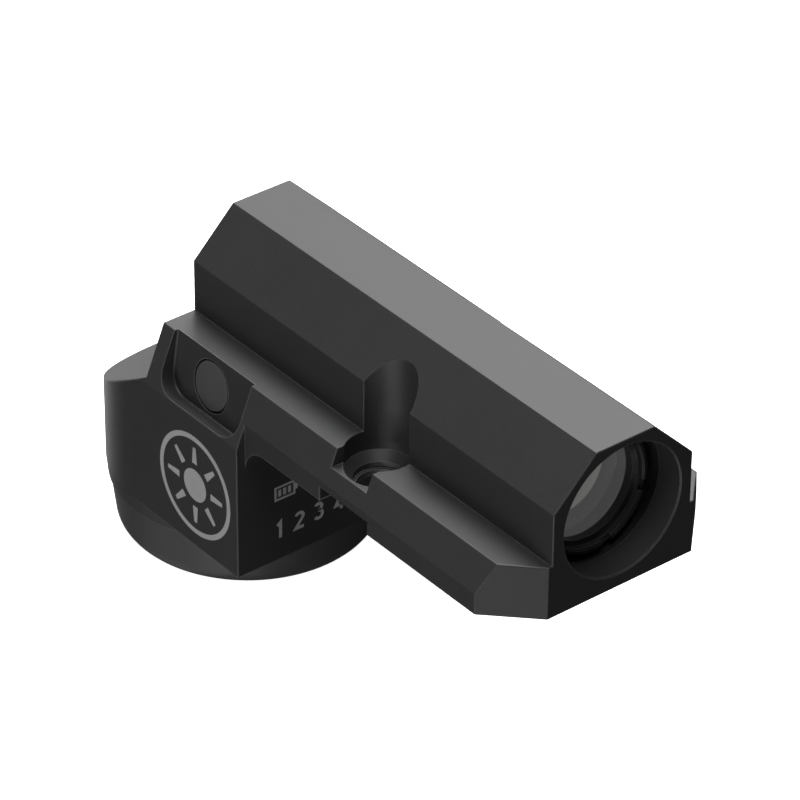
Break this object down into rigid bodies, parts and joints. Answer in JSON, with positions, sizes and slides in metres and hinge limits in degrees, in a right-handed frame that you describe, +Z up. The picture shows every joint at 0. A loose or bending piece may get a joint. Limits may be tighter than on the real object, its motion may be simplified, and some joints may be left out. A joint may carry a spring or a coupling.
{
  "type": "enclosed red dot finder",
  "caption": "Enclosed red dot finder: faceted tube with recessed objective, stepped screw pockets in side ledges, an under-slung round battery drum with screw cap, and a side push button.",
  "frame": {"origin": "centre of the mounting seat, the roof of the cross slot under the base, midway between the two screw holes", "axes": "+Z up out of the seat, +Y along the optical axis from the objective to the eyepiece window, +X to the windage side"},
  "size_m": [0.0234, 0.0574, 0.0317],
  "materials": {
    "housing_anodised": "matte black anodised, fine bead-blasted grain",
    "cap_anodised": "matte black anodised, turned",
    "cell_anodised": "satin black anodised, turned",
    "ring_anodised": "satin black anodised, turned",
    "adjuster_anodised": "satin black anodised with a bright slot",
    "lens_glass": "polished, anti-reflection coated",
    "seal_rubber": "matte black nitrile",
    "baffle_black": "flat black paint",
    "screw_steel": "plain machined",
    "spring_steel": "drawn wire, lightly oiled",
    "button_rubber": "fine moulded grain",
    "switch_metal": "nickel plated",
    "board_laminate": "green solder mask",
    "flex_polyimide": "amber polyimide",
    "stage_brass": "machined",
    "emitter_resin": "clear red resin",
    "chip_plastic": "moulded epoxy",
    "capacitor_ceramic": "sintered ceramic with tinned ends",
    "contact_brass": "tinned",
    "insulator_plastic": "natural film",
    "cell_steel": "nickel plated, fine circular brushing"
  },
  "bodies": {
    "housing": {"main_housing": "housing_anodised", "objective_cell": "cell_anodised", "objective_retaining_ring": "ring_anodised", "objective_front_element": "lens_glass", "objective_rear_element": "lens_glass", "objective_seal": "seal_rubber", "light_baffle": "baffle_black", "rear_window": "lens_glass", "rear_window_seal": "seal_rubber", "rear_retaining_ring": "ring_anodised", "purge_screw": "screw_steel", "button_seal": "seal_rubber", "dome_switch": "switch_metal", "switch_board": "board_laminate", "switch_flex": "flex_polyimide", "guide_pins": "screw_steel", "elevation_spring": "spring_steel", "emitter_flex": "flex_polyimide", "elevation_click_ball": "spring_steel", "elevation_click_spring": "spring_steel", "windage_click_ball": "spring_steel", "windage_click_spring": "spring_steel", "main_board": "board_laminate", "controller_chip": "chip_plastic", "board_capacitors": "capacitor_ceramic", "board_screws": "screw_steel", "ground_lug": "contact_brass", "battery_insulator": "insulator_plastic", "cell_contact_spring": "contact_brass"},
    "button": {"intensity_button": "button_rubber"},
    "cell_and_seal": {"coin_cell": "cell_steel", "battery_cap_seal": "seal_rubber"},
    "cap": {"battery_cap": "cap_anodised"},
    "elevation_adjuster": {"elevation_screw": "adjuster_anodised", "elevation_screw_seal": "seal_rubber", "elevation_screw_clip": "spring_steel"},
    "windage_adjuster": {"windage_screw": "adjuster_anodised", "windage_screw_seal": "seal_rubber", "windage_screw_clip": "spring_steel"},
    "elevation_stage": {"elevation_carriage": "stage_brass"},
    "windage_nut": {"windage_yoke": "stage_brass"},
    "windage_stage": {"windage_slide": "stage_brass", "windage_spring": "spring_steel", "emitter_board": "board_laminate", "emitter_led": "emitter_resin"}
  },
  "joints": [
    {"name": "intensity_button_press", "type": "slide", "parent": "housing", "child": "button", "axis": [1, 0, 0], "range_m": [0, 0.0004], "stiffness_N_per_m": 1500, "springref_m": -0.0006},
    {"name": "battery_cap_travel", "type": "slide", "parent": "housing", "child": "cell_and_seal", "axis": [0, 0, -1], "range_m": [0, 0.00225], "deforming": ["cell_contact_spring"]},
    {"name": "battery_cap_turn", "type": "hinge", "parent": "cell_and_seal", "child": "cap", "pos_m": [0, 0.0263, -0.0172], "axis": [0, 0, -1], "range_deg": [0, 1080.5]},
    {"name": "elevation_screw_turn", "type": "hinge", "parent": "housing", "child": "elevation_adjuster", "pos_m": [0, 0.0283, -0.0053], "axis": [0, 0, 1], "range_deg": [-618, 618]},
    {"name": "elevation_stage_travel", "type": "slide", "parent": "housing", "child": "elevation_stage", "axis": [0, 0, 1], "range_m": [-0.0006, 0.0006], "deforming": ["elevation_spring", "emitter_flex"]},
    {"name": "windage_screw_turn", "type": "hinge", "parent": "housing", "child": "windage_adjuster", "pos_m": [0.0101, 0.019, -0.005], "axis": [1, 0, 0], "range_deg": [-618, 618]},
    {"name": "windage_nut_travel", "type": "slide", "parent": "housing", "child": "windage_nut", "axis": [1, 0, 0], "range_m": [-0.0006, 0.0006]},
    {"name": "windage_stage_travel", "type": "slide", "parent": "elevation_stage", "child": "windage_stage", "axis": [1, 0, 0], "range_m": [-0.0006, 0.0006], "deforming": ["windage_spring", "emitter_flex"]}
  ],
  "couplings": [
    {"joint": "battery_cap_turn", "follows": "battery_cap_travel", "rad_per_m": 8377.6},
    {"joint": "elevation_screw_turn", "follows": "elevation_stage_travel", "rad_per_m": -17952},
    {"joint": "windage_screw_turn", "follows": "windage_nut_travel", "rad_per_m": -17952},
    {"joint": "windage_stage_travel", "follows": "windage_nut_travel", "ratio": 1}
  ]
}
